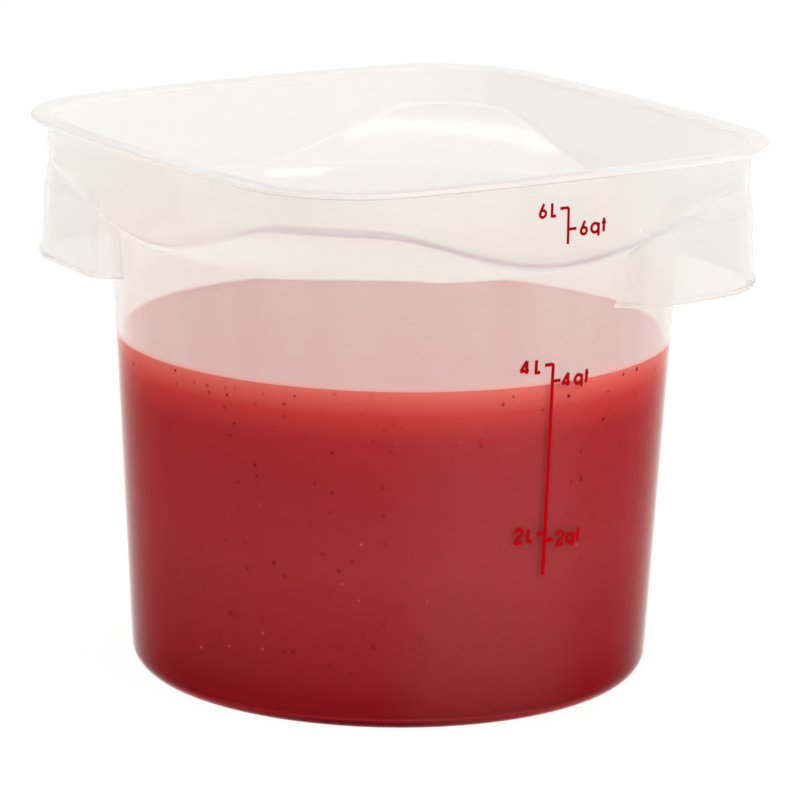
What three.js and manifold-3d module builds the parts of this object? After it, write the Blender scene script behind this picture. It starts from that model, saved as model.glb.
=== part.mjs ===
// Round food storage container: a one-piece moulded tub with a round body, a rounded-square rim,
// sloping corner pockets and two skirted corner handles, holding food up to its four-quart mark.
// Millimetres, +Z up. The origin is the centre of the foot on the table; the handles lie along X.
import * as THREE from "three";
import { mergeVertices } from "three/addons/utils/BufferGeometryUtils.js";
import Module from "manifold-3d";

// Overall and wall sizes
const OVERALL_HEIGHT = 205.4;
const WALL = 2.4;
const FLOOR = 2.8;

// Round body: radius where the drafted wall would meet the table
const BASE_RADIUS = 96.4;
const BODY_DRAFT = 3.1; // degrees
const BASE_EDGE_RADIUS = 9.7;
const FOOT_WIDTH = 8;
const FOOT_RECESS = 1.2;

// Upper wall: a rounded square whose depth below the rim is least at the corners
const SIDE_STEP = 1.75; // how far it stands out from the body at the middle of a side
const SIDE_WALL_DEPTH = 33.8;
const CORNER_WALL_DEPTH = 16.3;
const UPPER_DRAFT = 1; // degrees
const CORNER_RADIUS = 46.3; // of the rim's outer edge
const SIDE_RADIUS = 790; // of the rim's slightly bowed sides

// Corner pockets: a sloping shelf that joins the round body to the upper wall
const PLAIN_CROWN = 4; // how far the shelf bulges over a straight slope at a plain corner
const HANDLE_CROWN = 1.5; // and at a handle corner
const POCKET_FILLET = 2.5; // inside, between shelf and upper wall
const FLARE_FILLET = 9; // outside, between round body and shelf

// Rim flange
const FLANGE_OVERHANG = 6;
const FLANGE_THICKNESS = 2.2;
const FLANGE_EDGE_RADIUS = 0.9;
const UNDER_FLANGE_FILLET = 1.5;
const MOUTH_RADIUS = 1.6; // rounding between the flange's top and the inner wall

// Handles: skirts that hang round two corners, with a lip along the lower edge
const HANDLE_DEPTH = 53.1; // rim top to the bottom of the lip
const HANDLE_HALF_WIDTH = 51.5; // corner to end panel
const HANDLE_INSET = 4.2; // flange edge to the skirt's face at the lip
const HANDLE_DRAFT = 2.2; // degrees, from the lip up to the shoulder
const SHOULDER_DRAFT = 11; // degrees, from the shoulder up
const SHOULDER_HEIGHT = 25; // over the top of the lip
const SHOULDER_RADIUS = 14;
const HANDLE_END_RADIUS = 6; // where the skirt turns in to the body
const LIP_REACH = 1;
const LIP_HEIGHT = 1.9;
const LIP_EDGE_RADIUS = 0.45;

// Food
const FOOD_LEVEL = 128.1; // height of its surface over the table
const FOOD_CLEARANCE = 0.3; // between the food and the tub

// How finely the curves are cut into facets
const SIDE_STEPS = 8;
const CORNER_STEPS = 10;
const FILLET_STEPS = 3;
const SHELF_STEPS = 4;
const FOOD_STEPS = 96;

const wasm = await Module();
wasm.setup();

const radians = THREE.MathUtils.degToRad;
const slopeOf = (degrees) => Math.tan(radians(degrees));

// Heights that several features share
const flangeUnderside = OVERALL_HEIGHT - FLANGE_THICKNESS;
const sideCreaseZ = OVERALL_HEIGHT - SIDE_WALL_DEPTH;
const cornerCreaseZ = OVERALL_HEIGHT - CORNER_WALL_DEPTH;
const floorTop = FOOT_RECESS + FLOOR;

// Outer radius of the round body at a height
const bodyRadius = (z) => BASE_RADIUS + z * slopeOf(BODY_DRAFT);

// Outlines are parallel curves about fixed centres, so one "flat" (axis to the middle of a side) names each one
const wallFlat = (z) => bodyRadius(sideCreaseZ) + SIDE_STEP + (z - sideCreaseZ) * slopeOf(UPPER_DRAFT);
const flangeFlat = wallFlat(flangeUnderside) + FLANGE_OVERHANG;

// The side arc's centre lies behind the axis, the corner arc's centre on the corner's own radius
const sideCentre = flangeFlat - SIDE_RADIUS;
const centreGap = SIDE_RADIUS - CORNER_RADIUS;
const cornerCentre = (sideCentre + Math.sqrt(2 * centreGap ** 2 - sideCentre ** 2)) / Math.SQRT2;
const sideHalfAngle = Math.asin(cornerCentre / Math.SQRT2 / centreGap);
const cornerHalfAngle = Math.PI / 4 - sideHalfAngle;

const cornerRadius = (flat) => CORNER_RADIUS + flat - flangeFlat;
const sideRadius = (flat) => SIDE_RADIUS + flat - flangeFlat;

// Distance along a ray at this angle from a circle's own centre line to the circle
function reach(centre, radius, angle) {
  const along = centre * Math.cos(angle);
  return along + Math.sqrt(along ** 2 - centre ** 2 + radius ** 2);
}

// Radius of an outline at an azimuth; corners lie on the X and Y axes
function outlineRadius(flat, azimuth) {
  const quarter = Math.PI / 2;
  const fromCorner = azimuth - Math.round(azimuth / quarter) * quarter;
  const radius = cornerRadius(flat);
  const arcEnd = Math.atan2(
    radius * Math.sin(cornerHalfAngle),
    cornerCentre + radius * Math.cos(cornerHalfAngle),
  );
  if (Math.abs(fromCorner) < arcEnd) return reach(cornerCentre, radius, fromCorner);
  return reach(sideCentre, sideRadius(flat), quarter / 2 - Math.abs(fromCorner));
}

// Azimuths at which every ring has a point: even steps along the corner arcs and the sides of the rim
function ringAzimuths() {
  const azimuths = [];
  for (let quarter = 0; quarter < 4; quarter++) {
    const turn = (quarter * Math.PI) / 2;
    for (let i = 0; i < CORNER_STEPS; i++) {
      const t = cornerHalfAngle * ((2 * i) / CORNER_STEPS - 1);
      const radius = cornerRadius(flangeFlat);
      azimuths.push(turn + Math.atan2(radius * Math.sin(t), cornerCentre + radius * Math.cos(t)));
    }
    for (let i = 0; i < SIDE_STEPS; i++) {
      const t = sideHalfAngle * ((2 * i) / SIDE_STEPS - 1);
      const radius = sideRadius(flangeFlat);
      const polar = Math.atan2(radius * Math.sin(t), sideCentre + radius * Math.cos(t));
      azimuths.push(turn + Math.PI / 4 + polar);
    }
  }
  return azimuths;
}

// The shelf's underside runs from the foot of the upper wall at a side to its foot at a corner
const shelfStart = wallFlat(sideCreaseZ);
const shelfEnd = outlineRadius(wallFlat(cornerCreaseZ), 0);
const shelfWidth = shelfEnd - shelfStart;
const shelfRise = cornerCreaseZ - sideCreaseZ;

// Height of the shelf at a radius, on the underside (inset 0) or at a depth into its thickness
function shelfHeight(radius, azimuth, inset) {
  const crown = HANDLE_CROWN + (PLAIN_CROWN - HANDLE_CROWN) * Math.sin(azimuth) ** 2;
  const share = (radius - shelfStart) / shelfWidth;
  const slope = (shelfRise + 4 * crown * (1 - 2 * share)) / shelfWidth;
  return sideCreaseZ + shelfRise * share + 4 * crown * share * (1 - share) + inset * Math.hypot(1, slope);
}

// Height at which a nearly upright wall, given as radius by height, meets the shelf
function meetShelf(wallRadius, azimuth, inset) {
  const CLOSE_ENOUGH = 12; // rounds of substitution
  let z = cornerCreaseZ;
  for (let i = 0; i < CLOSE_ENOUGH; i++) z = shelfHeight(wallRadius(z), azimuth, inset);
  return z;
}

// Rounds each corner of a polyline that states a radius; a radius is limited by the lines beside it
function roundCorners(corners, steps) {
  const LONGEST_SHARE = 0.48; // of a neighbouring line that one rounding may use
  return corners.flatMap((corner, i) => {
    if (!corner.radius) return [corner.point];
    const before = corners.at(i - 1).point.clone().sub(corner.point);
    const after = corners.at(i + 1 - corners.length).point.clone().sub(corner.point);
    const room = LONGEST_SHARE * Math.min(before.length(), after.length());
    const halfTurn = before.normalize().angleTo(after.normalize()) / 2;
    const setback = Math.min(corner.radius / Math.tan(halfTurn), room);
    const radius = setback * Math.tan(halfTurn);
    const bisector = before.clone().add(after).normalize();
    const centre = corner.point.clone().addScaledVector(bisector, radius / Math.sin(halfTurn));
    const first = corner.point.clone().addScaledVector(before, setback).sub(centre);
    const last = corner.point.clone().addScaledVector(after, setback).sub(centre);
    const sweep = Math.sign(first.cross(last)) * first.angleTo(last);
    return Array.from({ length: steps + 1 }, (_, k) =>
      first.clone().rotateAround(new THREE.Vector2(), (sweep * k) / steps).add(centre),
    );
  });
}

const at = (r, z, radius = 0) => ({ point: new THREE.Vector2(r, z), radius });

// Radius and height along the wall from its base edge to the top of the upper wall, in the plane at an azimuth.
// Inset 0 is the outside; inset WALL is the inside.
function wallProfile(azimuth, inset, bottom, baseRadius, flareRadius, creaseRadius) {
  const body = (z) => bodyRadius(z) - inset * Math.hypot(1, slopeOf(BODY_DRAFT));
  const upper = (z) => outlineRadius(wallFlat(z) - inset, azimuth);
  const bodyTop = meetShelf(body, azimuth, inset);
  const crease = meetShelf(upper, azimuth, inset);
  const shelf = [];
  for (let i = 1; i < SHELF_STEPS; i++) {
    const r = THREE.MathUtils.lerp(body(bodyTop), upper(crease), i / SHELF_STEPS);
    shelf.push(at(r, shelfHeight(r, azimuth, inset)));
  }
  return [
    at(body(bottom), bottom, baseRadius),
    at(body(bodyTop), bodyTop, flareRadius),
    ...shelf,
    at(upper(crease), crease, creaseRadius),
  ];
}

// Outside of the tub in the plane at an azimuth, from the middle of the underside to the middle of the rim
function outerProfile(azimuth) {
  const foot = BASE_RADIUS - BASE_EDGE_RADIUS - FOOT_WIDTH;
  const wallTop = outlineRadius(wallFlat(flangeUnderside), azimuth);
  const flange = outlineRadius(flangeFlat, azimuth);
  return roundCorners(
    [
      at(0, FOOT_RECESS),
      at(foot - FOOT_RECESS, FOOT_RECESS),
      at(foot, 0),
      ...wallProfile(azimuth, 0, 0, BASE_EDGE_RADIUS, FLARE_FILLET, POCKET_FILLET + WALL),
      at(wallTop, flangeUnderside, UNDER_FLANGE_FILLET),
      at(flange, flangeUnderside, FLANGE_EDGE_RADIUS),
      at(flange, OVERALL_HEIGHT, FLANGE_EDGE_RADIUS),
      at(0, OVERALL_HEIGHT),
    ],
    FILLET_STEPS,
  );
}

// Inside of the tub, carried up past the rim so that it cuts the mouth open
function innerProfile(azimuth) {
  const mouth = outlineRadius(wallFlat(OVERALL_HEIGHT) - WALL, azimuth);
  const above = OVERALL_HEIGHT + MOUTH_RADIUS;
  const inside = roundCorners(
    [
      at(0, floorTop),
      ...wallProfile(azimuth, WALL, floorTop, BASE_EDGE_RADIUS - WALL, FLARE_FILLET + WALL, POCKET_FILLET),
      at(outlineRadius(wallFlat(OVERALL_HEIGHT - MOUTH_RADIUS) - WALL, azimuth), OVERALL_HEIGHT - MOUTH_RADIUS),
    ],
    FILLET_STEPS,
  );
  for (let i = 1; i <= FILLET_STEPS; i++) {
    const t = ((Math.PI / 2) * i) / FILLET_STEPS;
    const z = OVERALL_HEIGHT - MOUTH_RADIUS * (1 - Math.sin(t));
    inside.push(new THREE.Vector2(mouth + MOUTH_RADIUS * (1 - Math.cos(t)), z));
  }
  inside.push(new THREE.Vector2(mouth + MOUTH_RADIUS, above), new THREE.Vector2(0, above));
  return inside;
}

// Closed solid through rows of points; each row is a closed ring, and a flat cap closes each end
function loft(rows, caps) {
  const columns = rows[0].length;
  const positions = rows.flat().flatMap((point) => point.toArray());
  const index = [];
  for (let i = 0; i + 1 < rows.length; i++) {
    for (let j = 0; j < columns; j++) {
      const k = (j + 1) % columns;
      const [a, b, c, d] = [i * columns + j, i * columns + k, (i + 1) * columns + k, (i + 1) * columns + j];
      index.push(a, b, c, a, c, d);
    }
  }
  const lastRow = (rows.length - 1) * columns;
  for (const [a, b, c] of caps) index.push(a, b, c, lastRow + a, lastRow + c, lastRow + b);
  const geometry = new THREE.BufferGeometry();
  geometry.setAttribute("position", new THREE.Float32BufferAttribute(positions, 3));
  geometry.setIndex(index);
  return solidOf(geometry);
}

// A geometry as a solid for cutting and joining, with shared points merged and empty triangles left out
function solidOf(geometry) {
  const merged = mergeVertices(geometry, 1e-4);
  const corners = merged.index.array;
  const kept = [];
  for (let i = 0; i < corners.length; i += 3) {
    const [a, b, c] = corners.slice(i, i + 3);
    if (a !== b && b !== c && c !== a) kept.push(a, b, c);
  }
  return new wasm.Manifold(
    new wasm.Mesh({
      numProp: 3,
      vertProperties: merged.attributes.position.array,
      triVerts: new Uint32Array(kept),
    }),
  );
}

// A solid turned back into a three.js geometry
function geometryOf(solid) {
  const mesh = solid.getMesh();
  const geometry = new THREE.BufferGeometry();
  geometry.setAttribute("position", new THREE.BufferAttribute(mesh.vertProperties, mesh.numProp));
  geometry.setIndex(new THREE.BufferAttribute(mesh.triVerts, 1));
  geometry.computeVertexNormals();
  return geometry;
}

// Solid swept round the axis through the profile of each azimuth; profiles start and end on the axis
function turned(profile) {
  const azimuths = ringAzimuths();
  const profiles = azimuths.map(profile);
  const rows = profiles[0].map((_, i) =>
    profiles.map((points, j) => {
      const { x: r, y: z } = points[i];
      return new THREE.Vector3(r * Math.cos(azimuths[j]), r * Math.sin(azimuths[j]), z);
    }),
  );
  return loft(rows, []);
}

// X of an outline's side at a distance from the X axis: the side's circle lies on the diagonal through its middle
function sidePointAt(flat, y) {
  const diagonal = sideCentre / Math.SQRT2;
  return diagonal + Math.sqrt(sideRadius(flat) ** 2 - (y - diagonal) ** 2);
}

// Plan of a handle skirt's face: out of the body, round the corner and back, for the handle on +X
function handlePlan() {
  const flat = flangeFlat - HANDLE_INSET;
  const buried = bodyRadius(OVERALL_HEIGHT - HANDLE_DEPTH) - WALL / 2;
  const inner = Math.sqrt(buried ** 2 - HANDLE_HALF_WIDTH ** 2);
  const outer = sidePointAt(flat, HANDLE_HALF_WIDTH);
  const corner = [];
  for (let i = 0; i <= CORNER_STEPS; i++) {
    const t = cornerHalfAngle * ((2 * i) / CORNER_STEPS - 1);
    corner.push(at(cornerCentre + cornerRadius(flat) * Math.cos(t), cornerRadius(flat) * Math.sin(t)));
  }
  return roundCorners(
    [
      at(inner, -HANDLE_HALF_WIDTH),
      at(outer, -HANDLE_HALF_WIDTH, HANDLE_END_RADIUS),
      ...corner,
      at(outer, HANDLE_HALF_WIDTH, HANDLE_END_RADIUS),
      at(inner, HANDLE_HALF_WIDTH),
    ],
    FILLET_STEPS,
  );
}

// Section of a handle skirt: outward offset from its plan, and height
function handleSection() {
  const bottom = OVERALL_HEIGHT - HANDLE_DEPTH;
  const lipTop = bottom + LIP_HEIGHT;
  const shoulder = lipTop + SHOULDER_HEIGHT;
  const top = cornerCreaseZ + POCKET_FILLET;
  const lean = SHOULDER_HEIGHT * slopeOf(HANDLE_DRAFT);
  const topLean = lean + (top - shoulder) * slopeOf(SHOULDER_DRAFT);
  return roundCorners(
    [
      at(-WALL, bottom),
      at(-WALL, lipTop),
      at(-lean - WALL, shoulder, SHOULDER_RADIUS),
      at(-topLean - WALL, top),
      at(-topLean, top),
      at(-lean, shoulder, SHOULDER_RADIUS),
      at(0, lipTop),
      at(LIP_REACH, lipTop, LIP_EDGE_RADIUS),
      at(LIP_REACH, bottom, LIP_EDGE_RADIUS),
    ],
    FILLET_STEPS,
  );
}

// Handle skirt on +X, swept along its plan
function handleSkirt() {
  const plan = handlePlan();
  const section = handleSection();
  const rows = plan.map((point, i) => {
    const along = plan[Math.min(i + 1, plan.length - 1)].clone().sub(plan[Math.max(i - 1, 0)]).normalize();
    const outward = new THREE.Vector2(along.y, -along.x);
    return section.map(({ x, y: z }) => new THREE.Vector3(point.x + x * outward.x, point.y + x * outward.y, z));
  });
  return loft(rows, THREE.ShapeUtils.triangulateShape(section, []));
}

function containerBody() {
  const skirt = handleSkirt();
  const opposite = skirt.rotate([0, 0, 180]);
  return geometryOf(turned(outerProfile).add(skirt).add(opposite).subtract(turned(innerProfile)));
}

// Food in the round part of the tub, clear of the floor and the wall
function foodFill() {
  const bottom = floorTop + FOOD_CLEARANCE;
  const radius = (z) => bodyRadius(z) - (WALL + FOOD_CLEARANCE) * Math.hypot(1, slopeOf(BODY_DRAFT));
  const edge = BASE_EDGE_RADIUS - WALL - FOOD_CLEARANCE;
  const profile = roundCorners(
    [at(0, bottom), at(radius(bottom), bottom, edge), at(radius(FOOD_LEVEL), FOOD_LEVEL), at(0, FOOD_LEVEL)],
    FILLET_STEPS,
  );
  return new THREE.LatheGeometry(profile, FOOD_STEPS).rotateX(Math.PI / 2);
}

const polypropylene = new THREE.MeshStandardMaterial({
  color: 0xeeebe6,
  roughness: 0.32,
  metalness: 0,
  transparent: true,
  opacity: 0.4,
});
const food = new THREE.MeshStandardMaterial({ color: 0xb02a30, roughness: 0.35, metalness: 0 });

function part(name, geometry, material) {
  const mesh = new THREE.Mesh(geometry, material);
  mesh.name = name;
  return mesh;
}

const container = new THREE.Group();
container.add(part("container_body", containerBody(), polypropylene), part("food_fill", foodFill(), food));

export default container;
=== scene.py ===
# %% [markdown]
# # Round food storage container
# A translucent moulded tub stands on a white table. Its body is a tapered round wall, its rim is a rounded
# square, and two opposite corners carry skirted handles. Red puree fills it to the four-quart mark.
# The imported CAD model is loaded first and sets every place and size. The pieces below are finer skins of it.

import bpy
import numpy as np
from mathutils import Euler, Matrix, Vector


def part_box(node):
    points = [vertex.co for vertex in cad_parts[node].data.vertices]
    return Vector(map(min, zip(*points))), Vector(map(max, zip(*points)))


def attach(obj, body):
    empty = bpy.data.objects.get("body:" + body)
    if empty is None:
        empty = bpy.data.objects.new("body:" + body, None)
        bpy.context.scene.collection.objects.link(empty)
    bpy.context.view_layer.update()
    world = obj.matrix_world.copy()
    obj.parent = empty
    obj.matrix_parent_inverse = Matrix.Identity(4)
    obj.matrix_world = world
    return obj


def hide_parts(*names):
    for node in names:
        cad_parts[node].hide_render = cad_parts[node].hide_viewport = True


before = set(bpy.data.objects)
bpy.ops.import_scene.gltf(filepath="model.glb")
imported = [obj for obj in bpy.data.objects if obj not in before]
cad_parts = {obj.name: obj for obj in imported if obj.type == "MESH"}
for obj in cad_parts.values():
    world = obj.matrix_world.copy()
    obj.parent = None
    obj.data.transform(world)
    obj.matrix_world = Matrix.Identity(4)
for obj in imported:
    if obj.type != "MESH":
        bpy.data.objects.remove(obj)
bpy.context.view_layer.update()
tub_low, tub_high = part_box("container_body")
food_low, food_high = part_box("food_fill")
MM = 0.001
print("tub", [round(v / MM, 1) for v in tub_high - tub_low], "mm, food to", round(food_high.z / MM, 1), "mm")

# %% [markdown]
# ## Camera
# The photograph was taken with a long lens from a little above the rim, so the upright walls hardly
# converge. The station and the lens were fitted to the rim, the wall and the base of the tub. A small shift
# puts the lens axis a little left of the middle of the picture, and a small roll follows the tilt of the
# photograph.

# %% Camera
CAMERA_PLACE = Vector((0.35074, -1.84160, 0.54772))
CAMERA_PITCH = 0.2341
CAMERA_HEADING = 0.1882
CAMERA_ROLL = 0.0166
SENSOR_MM = 36
LENS_MM = 231.81
LENS_SHIFT_X = 0.00975

camera_data = bpy.data.cameras.new("camera")
camera_data.sensor_width = SENSOR_MM
camera_data.lens = LENS_MM
camera_data.shift_x = LENS_SHIFT_X
camera = bpy.data.objects.new("camera", camera_data)
aim = Euler((np.pi / 2 - CAMERA_PITCH, 0, CAMERA_HEADING)).to_matrix()
rolled = aim @ Matrix.Rotation(CAMERA_ROLL, 3, "Z")
camera.matrix_world = Matrix.Translation(CAMERA_PLACE) @ rolled.to_4x4()
bpy.context.scene.collection.objects.link(camera)
bpy.context.scene.camera = camera
bpy.context.scene.view_settings.view_transform = "Standard"
print("camera", round((CAMERA_PLACE - Vector((0, 0, tub_high.z / 2))).length, 3), "m from the tub")

# %% [markdown]
# ## Small tools for shader nodes
# Every finish below is a short graph of shader nodes. These helpers keep the graphs readable: one makes an
# empty material and returns its node tree, one adds a node and fills its sockets, either with a value or with
# the output of another node, and one turns the colour of a picture into the linear one that shaders use.

# %% Node helpers
WHITE = (1, 1, 1, 1)


def new_material(name):
    """An empty material; returns the material and its node tree."""
    material = bpy.data.materials.new(name)
    material.use_nodes = True
    material.node_tree.nodes.clear()
    return material, material.node_tree


def node(tree, kind, settings=None, **sockets):
    """Adds a node. Settings are its properties; sockets are values, or outputs of other nodes to link.

    A socket goes by its name, or by its number as i0, i1 and so on.
    """
    made = tree.nodes.new(kind)
    for key, value in (settings or {}).items():
        setattr(made, key, value)
    for key, value in sockets.items():
        slot = int(key[1:]) if key[0] == "i" and key[1:].isdigit() else key.replace("_", " ")
        if isinstance(value, bpy.types.NodeSocket):
            tree.links.new(value, made.inputs[slot])
        else:
            made.inputs[slot].default_value = value
    return made


def colour(red, green, blue):
    """Linear colour of an sRGB triple from 0 to 255, with full alpha."""
    share = np.array([red, green, blue]) / 255
    linear = np.where(share <= 0.04045, share / 12.92, ((share + 0.055) / 1.055) ** 2.4)
    return (*linear.tolist(), 1.0)


print("white is", colour(255, 255, 255))

# %% [markdown]
# Most graphs use the same few nodes over and over: a sum, a change of range, a mix of two shaders or of two
# colours. Each gets a short name here and returns its output, so a finish reads like a formula.

# %% Sums and mixes
def maths(tree, operation, *values):
    """Output of one operation on numbers."""
    numbered = {f"i{k}": value for k, value in enumerate(values)}
    return node(tree, "ShaderNodeMath", {"operation": operation}, **numbered).outputs[0]


def vector_maths(tree, operation, *values):
    """Output of one operation on vectors: a number for a dot product, a vector for the others."""
    numbered = {f"i{k}": value for k, value in enumerate(values)}
    made = node(tree, "ShaderNodeVectorMath", {"operation": operation}, **numbered)
    return made.outputs["Value" if operation == "DOT_PRODUCT" else "Vector"]


def ranged(tree, value, low, high, at_low=0.0, at_high=1.0, smooth=False):
    """A value brought from one range to another, evenly or by a smooth step, and held at both ends."""
    kind = {"interpolation_type": "SMOOTHSTEP" if smooth else "LINEAR"}
    limits = {"From_Min": low, "From_Max": high, "To_Min": at_low, "To_Max": at_high}
    return node(tree, "ShaderNodeMapRange", kind, Value=value, **limits).outputs[0]


def shader(tree, kind, **sockets):
    """Output of a surface shader of a kind, such as Diffuse."""
    return node(tree, "ShaderNodeBsdf" + kind, **sockets).outputs[0]


def blended(tree, share, first, second):
    """Two shaders mixed: the share comes from the second, and the rest from the first."""
    return node(tree, "ShaderNodeMixShader", i0=share, i1=first, i2=second).outputs[0]


def blended_colour(tree, share, first, second):
    """Two colours mixed: the share comes from the second, and the rest from the first."""
    return node(tree, "ShaderNodeMix", {"data_type": "RGBA"}, i0=share, i6=first, i7=second).outputs[2]


def set_surface(tree, surface):
    """Makes a shader the surface of the material."""
    node(tree, "ShaderNodeOutputMaterial", Surface=surface)


print("sums and mixes ready")

# %% [markdown]
# A finish often depends on where the shaded point lies on the object, or on what kind of ray looks at it.
# Places are read as object coordinates, so a pattern stays on its piece.

# %% Places and rays
def place_on(tree):
    """Object coordinates of the shaded point."""
    return node(tree, "ShaderNodeTexCoord").outputs["Object"]


def coordinate(tree, axis):
    """One object coordinate of the shaded point."""
    return node(tree, "ShaderNodeSeparateXYZ", Vector=place_on(tree)).outputs[axis]


def heading(tree):
    """Level direction of length 1 from the axis of the tub to the shaded point."""
    level = vector_maths(tree, "MULTIPLY", place_on(tree), (1, 1, 0))
    return vector_maths(tree, "NORMALIZE", level)


def rays(tree, *kinds):
    """1 for rays of any of these kinds, such as Shadow, and 0 for the others."""
    path = node(tree, "ShaderNodeLightPath")
    found = path.outputs[f"Is {kinds[0]} Ray"]
    for kind in kinds[1:]:
        found = maths(tree, "MAXIMUM", found, path.outputs[f"Is {kind} Ray"])
    return found


print("places and rays ready")

# %% [markdown]
# ## Table and background
# The photograph has a pure white ground. The floor is a large white sheet that shows the camera mostly plain
# white, so only a trace of the tub's shadow is left on it.

# %% Floor
FLOOR_HALF_SIZE = 6.0
FLOOR_WHITE = 0.9
SHADOW_SHARE = 0.1
GROUND_GLOW = 1.035

floor_mesh = bpy.data.meshes.new("floor")
corner = np.array([[-1, -1, 0], [1, -1, 0], [1, 1, 0], [-1, 1, 0]]) * FLOOR_HALF_SIZE
floor_mesh.from_pydata(corner.tolist(), [], [(0, 1, 2, 3)])
floor = bpy.data.objects.new("floor", floor_mesh)
bpy.context.scene.collection.objects.link(floor)


def seen_as_ground(tree):
    """1 for rays that show the ground itself: from the camera, off gloss, or through clear plastic."""
    return rays(tree, "Camera", "Glossy", "Transmission")


floor_material, tree = new_material("white_ground")
share = maths(tree, "MULTIPLY", seen_as_ground(tree), 1 - SHADOW_SHARE)
sheet = shader(tree, "Diffuse", Color=(FLOOR_WHITE, FLOOR_WHITE, FLOOR_WHITE, 1))
glow = node(tree, "ShaderNodeEmission", Color=WHITE, Strength=GROUND_GLOW).outputs[0]
set_surface(tree, blended(tree, share, sheet, glow))
floor_mesh.materials.append(floor_material)
print("floor", 2 * FLOOR_HALF_SIZE, "m square")

# %% [markdown]
# The world behind the floor is white to the camera as well. The light that falls on the tub comes from a
# softer grey world that is brighter behind than in front, as in a studio with a lit backdrop. A dark front
# keeps gloss on the red food low.

# %% World
WORLD_BACK = 0.97
WORLD_FRONT = 0.84
FRONT_COSINE = -0.8
BACK_COSINE = 0.6

world = bpy.data.worlds.new("studio")
bpy.context.scene.world = world
world.use_nodes = True
tree = world.node_tree
tree.nodes.clear()
direction = node(tree, "ShaderNodeTexCoord").outputs["Generated"]
view = (-np.sin(CAMERA_HEADING), np.cos(CAMERA_HEADING), 0)
along = vector_maths(tree, "DOT_PRODUCT", direction, view)
grey = ranged(tree, along, FRONT_COSINE, BACK_COSINE, WORLD_FRONT, WORLD_BACK, smooth=True)
strength = node(tree, "ShaderNodeMix", Factor=seen_as_ground(tree), A=grey, B=1.0).outputs[0]
light = node(tree, "ShaderNodeBackground", Color=WHITE, Strength=strength).outputs[0]
node(tree, "ShaderNodeOutputWorld", Surface=light)
print("world from", WORLD_FRONT, "in front to", WORLD_BACK, "behind")

# %% [markdown]
# ## Lamps
# Soft boxes add shape to the even light. The key lamp stands at the upper right in front and brightens the
# right half of the puree, and a weaker fill lamp lifts its left edge. A weak ceiling panel hangs over the
# tub. The sloping shelf of the back pocket mirrors the ceiling towards the camera, which gives the long white
# band there, so a narrower and much stronger strip hangs beside the panel. It shows only in gloss, and adds
# the sparkle without more light on the food.

# %% Lamps
def soft_box(name, place, target, width, depth, power, only_in_gloss=False):
    """A rectangular area lamp at a place, turned to face a target; sizes in metres, power in watts."""
    data = bpy.data.lights.new(name, "AREA")
    data.shape = "RECTANGLE"
    data.size = width
    data.size_y = depth
    data.energy = power
    lamp = bpy.data.objects.new(name, data)
    facing = (Vector(target) - Vector(place)).to_track_quat("-Z", "Y").to_matrix().to_4x4()
    lamp.matrix_world = Matrix.Translation(place) @ facing
    lamp.visible_diffuse = not only_in_gloss
    bpy.context.scene.collection.objects.link(lamp)
    return lamp


MIDDLE = (0, 0, tub_high.z * 0.6)
CEILING = (-0.45, -0.07, 2.15)
UNDER_CEILING = (-0.45, -0.07, 0)
GLEAM_STRIP = (-0.45, 0.08, 2.15)
UNDER_GLEAM_STRIP = (-0.45, 0.08, 0)
soft_box("key_lamp", (1.593, -1.035, 1.22), MIDDLE, width=1.0, depth=1.0, power=18)
soft_box("fill_lamp", (-1.9, -0.7, 0.8), MIDDLE, width=0.8, depth=0.8, power=5)
soft_box("ceiling_lamp", CEILING, UNDER_CEILING, width=1.8, depth=1.35, power=4)
soft_box("ceiling_gleam", GLEAM_STRIP, UNDER_GLEAM_STRIP, width=1.8, depth=0.6, power=130, only_in_gloss=True)

# %% [markdown]
# ## Outlines of the tub
# Seen from above, the body is a circle and everything near the rim is a rounded square: corner arcs on the X
# and Y axes joined by slightly bowed sides. All the square outlines are parallel curves, so one number names
# each of them, its flat: the distance from the axis to the middle of a side. The sizes are those of the CAD
# model.

# %% Sizes and outlines
HEIGHT = tub_high.z
WALL = 2.4 * MM
BASE_RADIUS = 96.4 * MM
BODY_DRAFT = np.radians(3.1)
SIDE_STEP = 1.75 * MM
SIDE_CREASE_Z = HEIGHT - 33.8 * MM
CORNER_CREASE_Z = HEIGHT - 16.3 * MM
UPPER_DRAFT = np.radians(1)
CORNER_RADIUS = 46.3 * MM
SIDE_RADIUS = 790 * MM
FLANGE_OVERHANG = 6 * MM
FLANGE_UNDERSIDE = HEIGHT - 2.2 * MM


def body_radius(z):
    """Outer radius of the round body at a height: base radius plus height times the tangent of the draft."""
    return BASE_RADIUS + z * np.tan(BODY_DRAFT)


def wall_flat(z):
    """Flat of the square upper wall at a height: it leans out by its draft above the crease at a side."""
    return body_radius(SIDE_CREASE_Z) + SIDE_STEP + (z - SIDE_CREASE_Z) * np.tan(UPPER_DRAFT)


FLANGE_FLAT = wall_flat(FLANGE_UNDERSIDE) + FLANGE_OVERHANG
SIDE_CENTRE = FLANGE_FLAT - SIDE_RADIUS
CENTRE_GAP = SIDE_RADIUS - CORNER_RADIUS
CORNER_CENTRE = (SIDE_CENTRE + np.sqrt(2 * CENTRE_GAP**2 - SIDE_CENTRE**2)) / np.sqrt(2)
SIDE_HALF_ANGLE = np.arcsin(CORNER_CENTRE / np.sqrt(2) / CENTRE_GAP)
CORNER_HALF_ANGLE = np.pi / 4 - SIDE_HALF_ANGLE


def reach(centre, radius, angle):
    """Distance from the axis to a circle whose centre lies on the ray at angle 0.

    It is c cos a + sqrt(R^2 - c^2 sin^2 a).
    """
    inside = np.maximum(radius**2 - (centre * np.sin(angle)) ** 2, 0)
    return centre * np.cos(angle) + np.sqrt(inside)


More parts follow.
